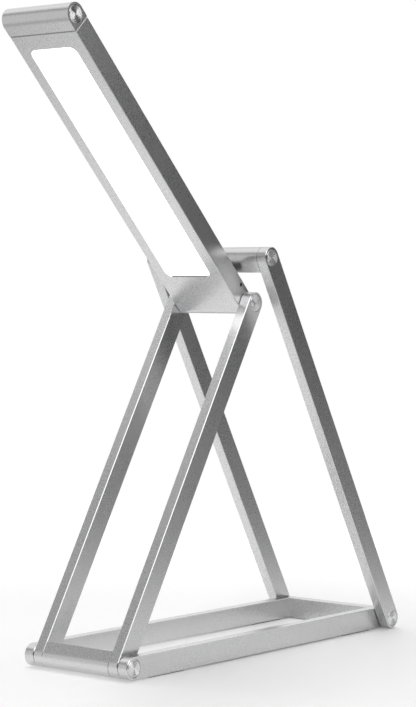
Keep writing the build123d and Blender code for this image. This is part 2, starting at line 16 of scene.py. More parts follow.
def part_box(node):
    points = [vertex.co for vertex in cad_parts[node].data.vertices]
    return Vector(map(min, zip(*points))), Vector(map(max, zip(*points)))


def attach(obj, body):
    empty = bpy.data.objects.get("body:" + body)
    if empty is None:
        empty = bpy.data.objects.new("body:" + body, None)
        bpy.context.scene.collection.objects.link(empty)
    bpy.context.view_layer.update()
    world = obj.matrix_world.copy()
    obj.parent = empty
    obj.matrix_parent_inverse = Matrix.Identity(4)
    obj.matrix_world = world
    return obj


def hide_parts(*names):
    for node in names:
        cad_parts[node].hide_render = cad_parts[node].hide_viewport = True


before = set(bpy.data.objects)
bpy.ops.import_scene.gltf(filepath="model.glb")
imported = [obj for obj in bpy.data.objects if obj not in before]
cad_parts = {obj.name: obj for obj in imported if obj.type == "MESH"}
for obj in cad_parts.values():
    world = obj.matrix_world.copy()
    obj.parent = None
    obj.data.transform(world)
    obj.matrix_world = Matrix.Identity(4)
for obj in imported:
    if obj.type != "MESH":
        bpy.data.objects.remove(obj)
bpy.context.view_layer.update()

Colour = tuple[float, float, float]
Point = tuple[float, float, float]
Span = tuple[float, float]
Value = float | Sequence[float] | bpy.types.NodeSocket

LOG = logging.getLogger("folding_desk_lamp")
MM = 0.001
FULL_WHITE: Colour = (1.0, 1.0, 1.0)

# Leans of the frames in degrees, from +X towards +Z.
FRONT_LEAN = 59.5
REAR_LEAN = 120.4
HEAD_LEAN = 135.0
HALF_TURN = 180.0


class Effect(Enum):
    """Surface effects that several materials share, each one a node group."""

    GRAIN = "blasted_grain"
    RINGS = "turned_rings"
    MOULDED = "moulded_skin"
    DUST = "settled_dust"


class BarFace(IntEnum):
    """Kinds of face on a bar, as the index of their finish."""

    SIDE = 0
    BEVEL = 1
    EDGE = 2
    # Painted shade on the wall at the foot of the head's window.
    SEAM = 3


class Graph:
    """A node tree with short calls that add, fill and join nodes."""

    def __init__(self, tree: bpy.types.NodeTree) -> None:
        """Keep the tree that the calls work on."""
        self.tree = tree

    def add(
        self, kind: str, inputs: dict[str | int, Value] | None = None, **settings: object
    ) -> bpy.types.Node:
        """Add a node.

        Args:
            kind: Blender's name for the node type.
            inputs: Values or sockets for its inputs, by name or number.
            settings: Attributes of the node itself.

        Returns:
            The new node.
        """
        node = self.tree.nodes.new(kind)
        for name, setting in settings.items():
            setattr(node, name, setting)
        for name, value in (inputs or {}).items():
            self.feed(node.inputs[name], value)
        return node

    def feed(self, socket: bpy.types.NodeSocket, value: Value) -> None:
        """Join a socket to another, or set its value.

        Args:
            socket: The input to fill.
            value: A number, a tuple or an output socket.
        """
        if isinstance(value, bpy.types.NodeSocket):
            self.tree.links.new(value, socket)
        else:
            socket.default_value = value

    def math(self, operation: str, *values: Value) -> bpy.types.NodeSocket:
        """Add a Math node and return its result."""
        return self.add("ShaderNodeMath", dict(enumerate(values)), operation=operation).outputs[0]

    def vector(self, operation: str, *values: Value) -> bpy.types.NodeSocket:
        """Add a Vector Math node and return its vector, or its number for a dot product or length."""
        node = self.add("ShaderNodeVectorMath", dict(enumerate(values)), operation=operation)
        return node.outputs["Value" if operation in {"DOT_PRODUCT", "LENGTH"} else "Vector"]

    def ramp(self, value: Value, low: float, high: float, start: float, end: float) -> bpy.types.NodeSocket:
        """Map a number smoothly from one range to another.

        Args:
            value: The number.
            low: Where the ramp starts.
            high: Where it ends.
            start: The result at the start.
            end: The result at the end.

        Returns:
            The mapped number.
        """
        inputs = {"Value": value, "From Min": low, "From Max": high, "To Min": start, "To Max": end}
        return self.add("ShaderNodeMapRange", inputs, interpolation_type="SMOOTHSTEP").outputs["Result"]

    def blend(self, first: Value, second: Value, share: Value) -> bpy.types.NodeSocket:
        """Blend two numbers by the second one's share and return the result."""
        kept = self.math("MULTIPLY", first, self.math("SUBTRACT", 1.0, share))
        return self.math("MULTIPLY_ADD", second, share, kept)

    def noise(self, place: Value, size: float, detail: float) -> bpy.types.NodeSocket:
        """Return noise of a feature size in metres, around 0.5."""
        inputs = {"Vector": place, "Scale": 1.0 / size, "Detail": detail}
        return self.add("ShaderNodeTexNoise", inputs).outputs["Fac"]

    def sway(self, noise: Value, amount: Value, middle: Value) -> bpy.types.NodeSocket:
        """Return a number that noise moves to both sides of its middle, by an amount."""
        return self.math("MULTIPLY_ADD", self.math("SUBTRACT", noise, 0.5), amount, middle)

    def tint(self, colour: Value, factor: Value) -> bpy.types.NodeSocket:
        """Multiply a colour by a number and return it."""
        return self.vector("SCALE", colour, (0, 0, 0), (0, 0, 0), factor)

    def bump(self, height: Value, strength: Value, distance: float) -> bpy.types.NodeSocket:
        """Return the normal of a surface that rises with a height, by up to a distance."""
        inputs = {"Strength": strength, "Distance": distance, "Height": height}
        return self.add("ShaderNodeBump", inputs).outputs["Normal"]

    def place(self) -> bpy.types.NodeSocket:
        """Return the place on the surface, in the lamp's frame."""
        return self.add("ShaderNodeTexCoord").outputs["Object"]

    def rays(self) -> tuple[bpy.types.NodeSocket, bpy.types.NodeSocket]:
        """Return the mark of rays from the camera, and the mark of rays that metal or glass sends on."""
        path = self.add("ShaderNodeLightPath").outputs
        return path["Is Camera Ray"], self.math("MAXIMUM", path["Is Glossy Ray"], path["Is Transmission Ray"])


@dataclass(frozen=True)
class Socket:
    """One socket of a node group."""

    name: str
    kind: str
    value: Value | None = None


class EffectLibrary:
    """Builds each shared effect once, as a node group."""

    COLOUR = "NodeSocketColor"
    NUMBER = "NodeSocketFloat"
    VECTOR = "NodeSocketVector"
    SURFACE = (Socket("Color", COLOUR), Socket("Roughness", NUMBER), Socket("Normal", VECTOR))

    GRAIN_FINE = 0.35 * MM
    GRAIN_COARSE = 0.85 * MM
    GRAIN_CLOUDS = 45 * MM
    GRAIN_GLOSS = 0.08
    GRAIN_HEIGHT = 0.12 * MM
    CLOUD_TONE = 0.04
    CLOUD_GLOSS = 0.05

    RING_UNEVEN = 0.7
    RING_WAVE = 0.4
    RING_TONE = 0.25
    RING_GLOSS = 0.2
    RING_STRENGTH = 0.25
    RING_HEIGHT = 0.02 * MM

    SKIN_FINE = 0.25 * MM
    SKIN_FLOW = 12 * MM
    SKIN_TONE = 0.14
    SKIN_GLOSS = 0.2
    SKIN_HEIGHT = 0.05 * MM

    DUST_COLOUR = (0.72, 0.71, 0.69, 1.0)
    DUST_PATCH = 7 * MM
    DUST_LYING: Span = (0.5, 1.0)
    DUST_COVER: Span = (0.35, 0.75)
    DUST_THIN = 0.2
    DUST_DULL = 0.4

    def group(self, effect: Effect) -> bpy.types.NodeTree:
        """Return an effect's node group, building it at its first use.

        Args:
            effect: The effect that is wanted.

        Returns:
            The node group.
        """
        known = bpy.data.node_groups.get(effect.value)
        if known:
            return known
        builders: dict[Effect, Callable[[], bpy.types.NodeTree]] = {
            Effect.GRAIN: self._grain,
            Effect.RINGS: self._rings,
            Effect.MOULDED: self._moulded,
            Effect.DUST: self._dust,
        }
        return builders[effect]()

    def _start(
        self, effect: Effect, inputs: Sequence[Socket], outputs: Sequence[Socket] = SURFACE
    ) -> tuple[Graph, bpy.types.Node, bpy.types.Node]:
        """Make an empty group with its sockets.

        Args:
            effect: The effect, which names the group.
            inputs: What each material sets.
            outputs: What the effect puts out.

        Returns:
            The group's graph, its input node and its output node.
        """
        tree = bpy.data.node_groups.new(effect.value, "ShaderNodeTree")
        for sockets, way in ((inputs, "INPUT"), (outputs, "OUTPUT")):
            for item in sockets:
                socket = tree.interface.new_socket(item.name, in_out=way, socket_type=item.kind)
                if item.value is not None:
                    socket.default_value = item.value
        graph = Graph(tree)
        return graph, graph.add("NodeGroupInput"), graph.add("NodeGroupOutput")

    def _grain(self) -> bpy.types.NodeTree:
        """Build fine blasted grain with faint clouds of tone and gloss.

        Returns:
            The node group.
        """
        inputs = (
            Socket("Color", self.COLOUR, (0.7, 0.7, 0.7, 1.0)),
            Socket("Roughness", self.NUMBER, 0.3),
            Socket("Grain", self.NUMBER, 0.1),
            Socket("Depth", self.NUMBER, 0.2),
        )
        graph, given, result = self._start(Effect.GRAIN, inputs)
        place = graph.place()
        fine = graph.noise(place, self.GRAIN_FINE, 1.0)
        coarse = graph.noise(place, self.GRAIN_COARSE, 2.0)
        clouds = graph.noise(place, self.GRAIN_CLOUDS, 3.0)
        speckle = graph.math("ADD", graph.math("MULTIPLY", fine, 0.5), graph.math("MULTIPLY", coarse, 0.5))
        grainy = graph.sway(speckle, given.outputs["Grain"], 1.0)
        tone = graph.sway(clouds, self.CLOUD_TONE, grainy)
        graph.feed(result.inputs["Color"], graph.tint(given.outputs["Color"], tone))
        rough = graph.sway(speckle, self.GRAIN_GLOSS, given.outputs["Roughness"])
        graph.feed(result.inputs["Roughness"], graph.sway(clouds, self.CLOUD_GLOSS, rough))
        normal = graph.bump(speckle, given.outputs["Depth"], self.GRAIN_HEIGHT)
        graph.feed(result.inputs["Normal"], normal)
        return graph.tree

    def _rings(self) -> bpy.types.NodeTree:
        """Build fine rings round an axis along Y, as a facing tool leaves them.

        Returns:
            The node group.
        """
        inputs = (
            Socket("Color", self.COLOUR, (0.8, 0.8, 0.8, 1.0)),
            Socket("Roughness", self.NUMBER, 0.2),
            Socket("Centre", self.VECTOR),
            Socket("Pitch", self.NUMBER, 0.2 * MM),
        )
        graph, given, result = self._start(Effect.RINGS, inputs)
        from_centre = graph.vector("SUBTRACT", graph.place(), given.outputs["Centre"])
        arm = graph.vector("MULTIPLY", from_centre, (1, 0, 1))
        turn = graph.math("DIVIDE", graph.vector("LENGTH", arm), given.outputs["Pitch"])
        scratches = {"W": turn, "Scale": self.RING_UNEVEN}
        uneven = graph.add("ShaderNodeTexNoise", scratches, noise_dimensions="1D").outputs["Fac"]
        wave = graph.math("SINE", graph.math("MULTIPLY", turn, math.tau))
        height = graph.math("MULTIPLY_ADD", wave, self.RING_WAVE, uneven)
        tone = graph.sway(uneven, self.RING_TONE, 1.0)
        graph.feed(result.inputs["Color"], graph.tint(given.outputs["Color"], tone))
        rough = graph.sway(uneven, self.RING_GLOSS, given.outputs["Roughness"])
        graph.feed(result.inputs["Roughness"], rough)
        graph.feed(result.inputs["Normal"], graph.bump(height, self.RING_STRENGTH, self.RING_HEIGHT))
        return graph.tree

    def _moulded(self) -> bpy.types.NodeTree:
        """Build the fine spark-eroded skin of moulded plastic or rubber.

        Returns:
            The node group.
        """
        inputs = (
            Socket("Color", self.COLOUR, (0.5, 0.5, 0.5, 1.0)),
            Socket("Roughness", self.NUMBER, 0.5),
            Socket("Depth", self.NUMBER, 0.2),
        )
        graph, given, result = self._start(Effect.MOULDED, inputs)
        place = graph.place()
        skin = graph.noise(place, self.SKIN_FINE, 3.0)
        flow = graph.noise(place, self.SKIN_FLOW, 2.0)
        tone = graph.sway(flow, self.SKIN_TONE, 1.0)
        graph.feed(result.inputs["Color"], graph.tint(given.outputs["Color"], tone))
        rough = graph.sway(skin, self.SKIN_GLOSS, given.outputs["Roughness"])
        graph.feed(result.inputs["Roughness"], rough)
        graph.feed(result.inputs["Normal"], graph.bump(skin, given.outputs["Depth"], self.SKIN_HEIGHT))
        return graph.tree

    def _dust(self) -> bpy.types.NodeTree:
        """Build a thin film of dust on what faces up, which lifts the tone and dulls the gloss.

        Returns:
            The node group.
        """
        inputs = (
            Socket("Color", self.COLOUR, (0.7, 0.7, 0.7, 1.0)),
            Socket("Roughness", self.NUMBER, 0.3),
            Socket("Amount", self.NUMBER, 0.1),
        )
        graph, given, result = self._start(Effect.DUST, inputs, self.SURFACE[:2])
        normal = graph.add("ShaderNodeNewGeometry").outputs["Normal"]
        facing = graph.add("ShaderNodeSeparateXYZ", {0: normal}).outputs["Z"]
        lying = graph.ramp(facing, *self.DUST_LYING, 0.0, 1.0)
        patches = graph.noise(graph.place(), self.DUST_PATCH, 5.0)
        patchy = graph.ramp(patches, *self.DUST_COVER, self.DUST_THIN, 1.0)
        film = graph.math("MULTIPLY", graph.math("MULTIPLY", lying, patchy), given.outputs["Amount"])
        mix = graph.add("ShaderNodeMix", {"Factor": film}, data_type="RGBA")
        graph.feed(mix.inputs["A"], given.outputs["Color"])
        mix.inputs["B"].default_value = self.DUST_COLOUR
        graph.feed(result.inputs["Color"], mix.outputs["Result"])
        rough = graph.math("MULTIPLY_ADD", film, self.DUST_DULL, given.outputs["Roughness"])
        graph.feed(result.inputs["Roughness"], rough)
        return graph.tree


EFFECTS = EffectLibrary()


@dataclass(frozen=True)
class Finish:
    """A finish with a Principled shader, whose plain values every kind of finish shares."""

    name: str
    colour: Colour
    roughness: float
    metallic: float = 0.0

    def material(self) -> bpy.types.Material:
        """Build the finish's material at its first use.

        Returns:
            The material.
        """
        known = bpy.data.materials.get(self.name)
        if known:
            return known
        material = bpy.data.materials.new(self.name)
        material.use_nodes = True
        shader = material.node_tree.nodes["Principled BSDF"]
        shader.inputs["Metallic"].default_value = self.metallic
        self.paint(Graph(material.node_tree), shader)
        return material

    def paint(self, graph: Graph, shader: bpy.types.Node) -> None:
        """Join the finish's effects to its shader.

        Args:
            graph: The material's nodes.
            shader: Its Principled shader.
        """
        raise NotImplementedError

    def rgba(self) -> tuple[float, float, float, float]:
        """Return the colour with full cover."""
        return (*self.colour, 1.0)

    def effect(self, graph: Graph, effect: Effect, inputs: dict[str | int, Value]) -> bpy.types.Node:
        """Place a shared effect in the material and return its node."""
        return graph.add("ShaderNodeGroup", inputs, node_tree=EFFECTS.group(effect))

    def wear(self, graph: Graph, shader: bpy.types.Node, source: bpy.types.Node) -> None:
        """Join whichever of colour, roughness and normal an effect puts out to the shader.

        Args:
            graph: The material's nodes.
            shader: Its Principled shader.
            source: The effect's node.
        """
        for output, target in (("Color", "Base Color"), ("Roughness", "Roughness"), ("Normal", "Normal")):
            if output in source.outputs:
                graph.feed(shader.inputs[target], source.outputs[output])

    def shade(self, graph: Graph, shader: bpy.types.Node, factor: Value) -> None:
        """Multiply the colour that the shader has by a number."""
        painted = shader.inputs["Base Color"].links[0].from_socket
        graph.feed(shader.inputs["Base Color"], graph.tint(painted, factor))


@dataclass(frozen=True)
class SatinMetal(Finish):
    """Aluminium that was blasted fine and anodised clear."""

    grain: float = 0.35
    depth: float = 0.3
    dust: float = 0.06

    def paint(self, graph: Graph, shader: bpy.types.Node) -> None:
        """Join grain and dust to the shader.

        Args:
            graph: The material's nodes.
            shader: Its Principled shader.
        """
        inputs = {"Color": self.rgba(), "Roughness": self.roughness, "Grain": self.grain, "Depth": self.depth}
        grain = self.effect(graph, Effect.GRAIN, inputs)
        self.wear(graph, shader, grain)
        film = {"Color": grain.outputs["Color"], "Roughness": grain.outputs["Roughness"], "Amount": self.dust}
        self.wear(graph, shader, self.effect(graph, Effect.DUST, film))


@dataclass(frozen=True)
class TurnedMetal(Finish):
    """Aluminium faced on a lathe, with rings round one pivot."""

    centre: Point = (0.0, 0.0, 0.0)
    pitch: float = 0.2 * MM
    anisotropy: float = 0.5

    def paint(self, graph: Graph, shader: bpy.types.Node) -> None:
        """Join the rings to the shader and turn its gloss round the pivot.

        Args:
            graph: The material's nodes.
            shader: Its Principled shader.
        """
        inputs = {"Color": self.rgba(), "Roughness": self.roughness}
        inputs |= {"Centre": self.centre, "Pitch": self.pitch}
        self.wear(graph, shader, self.effect(graph, Effect.RINGS, inputs))
        shader.inputs["Anisotropic"].default_value = self.anisotropy
        tangent = graph.add("ShaderNodeTangent", direction_type="RADIAL", axis="Y")
        graph.feed(shader.inputs["Tangent"], tangent.outputs["Tangent"])


@dataclass(frozen=True)
class Moulded(Finish):
    """Moulded plastic or rubber."""

    depth: float = 0.25

    def paint(self, graph: Graph, shader: bpy.types.Node) -> None:
        """Join the moulded skin to the shader."""
        inputs = {"Color": self.rgba(), "Roughness": self.roughness, "Depth": self.depth}
        self.wear(graph, shader, self.effect(graph, Effect.MOULDED, inputs))


@dataclass(frozen=True)
class OpalPanel(Moulded):
    """Opal plastic with light behind it, a little brighter towards the middle of the panel."""

    glow: float = 1.8
    half_width: float = 20 * MM
    even_share: float = 0.5
    edge_level: float = 0.94

    def paint(self, graph: Graph, shader: bpy.types.Node) -> None:
        """Join the skin and the glow to the shader.

        Args:
            graph: The material's nodes.
            shader: Its Principled shader.
        """
        super().paint(graph, shader)
        sideways = graph.add("ShaderNodeSeparateXYZ", {0: graph.place()}).outputs["Y"]
        across = graph.math("ABSOLUTE", sideways)
        level = graph.ramp(across, self.even_share * self.half_width, self.half_width, 1.0, self.edge_level)
        graph.feed(shader.inputs["Emission Color"], graph.tint(FULL_WHITE, level))
        shader.inputs["Emission Strength"].default_value = self.glow


@dataclass(frozen=True)
class Sweep(Moulded):
    """White paper with painted light: its colour is painted to an even level on the backdrop's side and
    painted darker with distance on the other.
    """

    centre: Point = (-0.02, 0.08, 0.0)
    lit_side: Point = (-0.45, 0.89, 0.0)
    lit_span: Span = (-0.03, 0.05)
    painted_lit_level: float = 0.65
    near: float = 0.12
    far: float = 0.6
    edge_level: float = 0.5
    lift: float = 1.08
    edge_lift: float = 1.2
    mirror_gain: float = 1.08

    def paint(self, graph: Graph, shader: bpy.types.Node) -> None:
        """Join the paper's skin, its painted light falloff and the backdrop's white to the shader, with a
        glow that gives mirrored rays a painted pool of light.

        Args:
            graph: The material's nodes.
            shader: Its Principled shader.
        """
        super().paint(graph, shader)
        place = graph.place()
        reach = graph.vector("LENGTH", graph.vector("SUBTRACT", place, self.centre))
        # Painted light: the paper's colour is painted darker with distance from the lamp's middle, and set to
        # an even level on the backdrop's side.
        lit = graph.ramp(graph.vector("DOT_PRODUCT", place, self.lit_side), *self.lit_span, 0.0, 1.0)
        painted_falloff = graph.ramp(reach, self.near, self.far, 1.0, self.edge_level)
        level = graph.blend(painted_falloff, self.painted_lit_level, lit)
        self.shade(graph, shader, level)
        camera, mirrored = graph.rays()
        # A glow that only mirrored rays see, a painted pool of light on the floor that falls off with
        # distance; camera rays see an even white.
        behind = graph.math("MULTIPLY", graph.math("MULTIPLY", mirrored, painted_falloff), self.mirror_gain)
        lift = graph.ramp(reach, self.near, self.far, self.lift, self.edge_lift)
        wanted = graph.math("MAXIMUM", graph.math("MULTIPLY", camera, lift), behind)
        rest = graph.math("MAXIMUM", graph.math("SUBTRACT", wanted, level), 0.0)
        graph.feed(shader.inputs["Emission Color"], graph.tint(FULL_WHITE, rest))
        shader.inputs["Emission Strength"].default_value = 1.0


@dataclass(frozen=True)
class ClearSheet(Moulded):
    """Clear acrylic."""

    transmission: float = 0.9
    ior: float = 1.49

    def paint(self, graph: Graph, shader: bpy.types.Node) -> None:
        """Join the skin to the shader and let light through.

        Args:
            graph: The material's nodes.
            shader: Its Principled shader.
        """
        super().paint(graph, shader)
        shader.inputs["Transmission Weight"].default_value = self.transmission
        shader.inputs["IOR"].default_value = self.ior


@dataclass(frozen=True)
class CircuitBoard(Moulded):
    """A board with copper tracks under its solder mask."""

    track: float = 1.6 * MM
    track_edge: Span = (0.06, 0.12)
    copper_gain: float = 1.7

    def paint(self, graph: Graph, shader: bpy.types.Node) -> None:
        """Join the tracks and the mask to the shader.

        Args:
            graph: The material's nodes.
            shader: Its Principled shader.
        """
        super().paint(graph, shader)
        inputs = {"Vector": graph.place(), "Scale": 1.0 / self.track}
        cells = graph.add("ShaderNodeTexVoronoi", inputs, distance="MANHATTAN", feature="DISTANCE_TO_EDGE")
        copper = graph.ramp(cells.outputs["Distance"], *self.track_edge, self.copper_gain, 1.0)
        self.shade(graph, shader, copper)


SATIN = SatinMetal("blasted_aluminium", (0.70, 0.70, 0.705), 0.28, 1.0)
EDGE = SatinMetal("blasted_edge", (0.70, 0.70, 0.705), 0.28, 1.0, grain=1.4)
BEVEL = SatinMetal("cut_bevel", (0.72, 0.72, 0.725), 0.2, 1.0, grain=0.05, depth=0.05, dust=0.02)
STEEL = SatinMetal("machined_steel", (0.56, 0.57, 0.59), 0.26, 1.0, grain=0.15, depth=0.15, dust=0.0)
OPAL = OpalPanel("lit_opal", (0.93, 0.93, 0.92), 0.55)
BUSH = Moulded("bearing_plastic", (0.10, 0.10, 0.105), 0.45)
RUBBER = Moulded("foot_rubber", (0.03, 0.03, 0.032), 0.75, depth=0.5)
SEAL = Moulded("grey_seal", (0.5, 0.5, 0.505), 0.6, depth=0.3)
# Painted shade: a dark colour on the shaded wall at the foot of the head's window.
SEAM = Moulded("window_foot_painted_shade", (0.09, 0.09, 0.092), 0.6, depth=0.3)
WHITE = Moulded("white_film", (0.88, 0.88, 0.87), 0.5)
ACRYLIC = ClearSheet("guide_acrylic", (0.90, 0.94, 0.95), 0.06, depth=0.02)
BOARD = CircuitBoard("board_mask", (0.02, 0.16, 0.07), 0.35)
LED = Moulded("phosphor", (0.90, 0.72, 0.20), 0.3)
FOIL = SatinMetal("pouch_foil", (0.62, 0.63, 0.65), 0.32, 1.0, grain=0.1, depth=0.6, dust=0.0)
SOCKET = Moulded("socket_black", (0.02, 0.02, 0.02), 0.35)
PAPER = Sweep("floor_painted_falloff", (0.92, 0.92, 0.92), 0.8, depth=0.02)


def put_finishes(piece: bpy.types.Object, *finishes: Finish) -> None:
    """Give a piece its materials.

    Args:
        piece: The piece.
        finishes: Its finishes, in order of their index.
    """
    piece.data.materials.clear()
    for finish in finishes:
        piece.data.materials.append(finish.material())


CREASE = math.radians(12)


def new_piece(name: str, mesh: bmesh.types.BMesh, body: str) -> bpy.types.Object:
    """Turn a bmesh into a piece that rides on a body.

    Args:
        name: The piece's name.
        mesh: Its faces, which this call frees.
        body: The body it moves with.

    Returns:
        The new piece.
    """
    data = bpy.data.meshes.new(name)
    bmesh.ops.recalc_face_normals(mesh, faces=mesh.faces)
    mesh.to_mesh(data)
    mesh.free()
    data.polygons.foreach_set("use_smooth", [True] * len(data.polygons))
    data.set_sharp_from_angle(angle=CREASE)
    piece = bpy.data.objects.new(name, data)
    bpy.context.scene.collection.objects.link(piece)
    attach(piece, body)
    LOG.info("made %s on %s", name, body)
    return piece


@dataclass(frozen=True)
class Ring:
    """A ring of points round the local Z axis, with waves round it where it has lobes."""

    radius: float
    height: float
    wave: float = 0.0
    lobes: int = 0

    def points(self, sides: int) -> Iterator[Vector]:
        """Yield the ring's points.

        Args:
            sides: How many points there are.

        Yields:
            Each point in turn.
        """
        for i in range(sides):
            angle = math.tau * i / sides
            reach = self.radius * (1 + self.wave * math.cos(self.lobes * angle))
            yield Vector((reach * math.cos(angle), reach * math.sin(angle), self.height))


def lathe(mesh: bmesh.types.BMesh, rings: Sequence[Ring], place: Matrix, sides: int) -> None:
    """Join rings into a turned form and close both its ends.

    Args:
        mesh: Where the faces go.
        rings: The outline's rings, from the back to the front.
        place: The turned form's place.
        sides: How many sides a ring has.
    """
    loops = [[mesh.verts.new(place @ point) for point in ring.points(sides)] for ring in rings]
    for low, high in zip(loops, loops[1:]):
        for i in range(sides):
            after = (i + 1) % sides
            mesh.faces.new((low[i], low[after], high[after], high[i]))
    mesh.faces.new(loops[0][::-1])
    mesh.faces.new(loops[-1])


# Limits on the share of a face's normal that points across its bar or along it.
BEVEL_ACROSS: Span = (0.4, 0.92)
BEVEL_ALONG: Span = (0.6, 0.8)
NOT_ACROSS = 0.1
FLAT = 0.02
SQUARE = 0.99
FOOT_WALL = 0.95


@dataclass(frozen=True)
class BarFrame:
    """Bars of one lean with satin sides, grainy narrow flats and bright cut bevels along their edges."""

    nodes: tuple[str, ...]
    lean: float
    square_end: bool = False
    bevel: float = 0.4 * MM
    finishes: tuple[Finish, ...] = (SATIN, BEVEL, EDGE)

    def dress(self) -> None:
        """Give the bars their finishes."""
        for node in self.nodes:
            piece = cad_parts[node]
            put_finishes(piece, *self.finishes)
            low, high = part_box(node)
            for face in piece.data.polygons:
                face.material_index = self._kind(face, low.y, high.y)
            LOG.info("dressed %s", node)

    def length_way(self) -> Vector:
        """Return the direction of the bars' length."""
        turn = math.radians(self.lean)
        return Vector((math.cos(turn), 0.0, math.sin(turn)))

    def _kind(self, face: bpy.types.MeshPolygon, low: float, high: float) -> BarFace:
        """Tell what kind of face this is.

        Args:
            face: The face.
            low: The bar's lowest Y.
            high: Its highest Y.

        Returns:
            A bevel for the slant beside a side face or beside a cross bar's square end, an edge for a flat.
        """
        across = abs(face.normal.y)
        near_side = min(face.center.y - low, high - face.center.y) < self.bevel
        if near_side and BEVEL_ACROSS[0] < across < BEVEL_ACROSS[1]:
            return BarFace.BEVEL
        ahead = face.normal.dot(self.length_way())
        if self.square_end and across < NOT_ACROSS and BEVEL_ALONG[0] < ahead < BEVEL_ALONG[1]:
            return BarFace.BEVEL
        flat = across < FLAT and (abs(ahead) < FLAT or self.square_end and ahead > SQUARE)
        return BarFace.EDGE if flat else BarFace.SIDE


@dataclass(frozen=True)
class HeadHousing(BarFrame):
    """The head's housing, with painted shade on the wall at the foot of its window."""

    nodes: tuple[str, ...] = ("head_housing",)
    lean: float = HEAD_LEAN
    finishes: tuple[Finish, ...] = (SATIN, BEVEL, EDGE, SEAM)
    pivot: Point = (12.962 * MM, 0.0, 224.631 * MM)
    window_foot: float = 30 * MM
    reach: float = 1.5 * MM

    def _kind(self, face: bpy.types.MeshPolygon, low: float, high: float) -> BarFace:
        """Tell what kind of face this is.

        Args:
            face: The face.
            low: The housing's lowest Y.
            high: Its highest Y.

        Returns:
            Painted shade for the wall at the window's foot, and otherwise the kind that a bar's face has.
        """
        way = self.length_way()
        height = (face.center - Vector(self.pivot)).dot(way) - self.window_foot
        # The wall at the window's foot is coloured dark as painted shade.
        if face.normal.dot(way) > FOOT_WALL and abs(height) < self.reach:
            return BarFace.SEAM
        return super()._kind(face, low, high)


@dataclass(frozen=True)
class TurnedDiscs:
    """The pair of turned discs at one pivot, with a cut rim, rings and a small centre mark."""

    node: str
    body: str
    colour: Colour = (0.82, 0.82, 0.825)
    roughness: float = 0.14
    depth: float = 1.4 * MM
    rim: float = 0.35 * MM
    pitch: float = 0.3 * MM
    slope: float = 9.5
    mark: float = 0.5 * MM
    mark_floor: float = 0.15
    mark_depth: float = 0.3
    sides: int = 96

    def build(self) -> bpy.types.Object:
        """Make both discs as one piece.

        Returns:
            The piece.
        """
        low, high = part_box(self.node)
        middle = (low + high) / 2
        rings = self._rings((high.x - low.x) / 2)
        mesh = bmesh.new()
        for face_y, side in ((low.y, 1), (high.y, -1)):
            turn = Matrix.Rotation(math.radians(90 * side), 4, "X")
            place = Matrix.Translation((middle.x, face_y, middle.z)) @ turn
            lathe(mesh, rings, place, self.sides)
        piece = new_piece(f"{self.node}_turned", mesh, self.body)
        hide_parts(self.node)
        finish = TurnedMetal(f"{self.node}_face", self.colour, self.roughness, 1.0, centre=tuple(middle))
        put_finishes(piece, finish)
        return piece

    def _rings(self, radius: float) -> list[Ring]:
        """Lay out one disc.

        Args:
            radius: The disc's radius.

        Returns:
            Its rings, from the back to the centre mark.
        """
        spot = radius - self.rim
        rings = [Ring(radius, -self.depth), Ring(radius, -self.rim), Ring(spot, 0.0)]
        groove = math.tan(math.radians(self.slope)) * self.pitch / 2
        while spot - self.pitch > self.mark:
            rings += [Ring(spot - self.pitch / 2, -groove), Ring(spot - self.pitch, 0.0)]
            spot -= self.pitch
        rings += [Ring(self.mark, 0.0), Ring(self.mark_floor * self.mark, -self.mark_depth * self.mark)]
        return rings


@dataclass(frozen=True)
class CoverScrews:
    """Sunk screws in the back cover, each with a lobed drive."""

    node: str = "cover_screws"
    body: str = "head"
    head_radius: float = 1.7 * MM
    shank_radius: float = 1.0 * MM
    sink: float = 0.7 * MM
    length: float = 5.5 * MM
    drive_radius: float = 0.8 * MM
    drive_depth: float = 0.5 * MM
    drive_taper: float = 0.9
    wave: float = 0.14
    lobes: int = 6
    sides: int = 48
    weld: float = 0.001 * MM
    face_play: float = 0.01 * MM

    def build(self, outward: Vector) -> bpy.types.Object:
        """Make the screws.

        Args:
            outward: The direction that their heads face.

        Returns:
            The piece that holds them all.
        """
        mesh = bmesh.new()
        turn = outward.to_track_quat("Z", "Y").to_matrix().to_4x4()
        for spot in self._spots(outward):
            lathe(mesh, self._rings(), Matrix.Translation(spot) @ turn, self.sides)
        piece = new_piece("cover_screws_lobed", mesh, self.body)
        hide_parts(self.node)
        put_finishes(piece, STEEL)
        return piece

    def _spots(self, outward: Vector) -> Iterator[Vector]:
        """Find the screws from the separate solids of the node.

        Args:
            outward: The direction that their heads face.

        Yields:
            The middle of each screw's face.
        """
        mesh = bmesh.new()
        mesh.from_mesh(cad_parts[self.node].data)
        bmesh.ops.remove_doubles(mesh, verts=mesh.verts, dist=self.weld)
        seen: set[bmesh.types.BMVert] = set()
        for first in mesh.verts:
            if first in seen:
                continue
            solid = [first]
            seen.add(first)
            for vertex in solid:
                around = [edge.other_vert(vertex) for edge in vertex.link_edges]
                found = [other for other in around if other not in seen]
                seen.update(found)
                solid += found
            top = max(vertex.co.dot(outward) for vertex in solid)
            face = [vertex.co for vertex in solid if vertex.co.dot(outward) > top - self.face_play]
            yield sum(face, Vector()) / len(face)
        mesh.free()

    def _rings(self) -> list[Ring]:
        """Lay out one screw.

        Returns:
            The rings of its shank, its sunk head and its lobed drive.
        """
        drive_floor = self.drive_taper * self.drive_radius
        return [
            Ring(self.shank_radius, -self.length),
            Ring(self.shank_radius, -self.sink),
            Ring(self.head_radius, 0.0),
            Ring(self.drive_radius, 0.0, self.wave, self.lobes),
            Ring(drive_floor, -self.drive_depth, self.wave, self.lobes),
        ]


@dataclass(frozen=True)
class PlainPieces:
    """Pieces that keep their shape and take one finish."""

    finish: Finish
    nodes: tuple[str, ...]

    def dress(self) -> None:
        """Give the pieces their finish."""
        for node in self.nodes:
            put_finishes(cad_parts[node], self.finish)
            LOG.info("dressed %s", node)


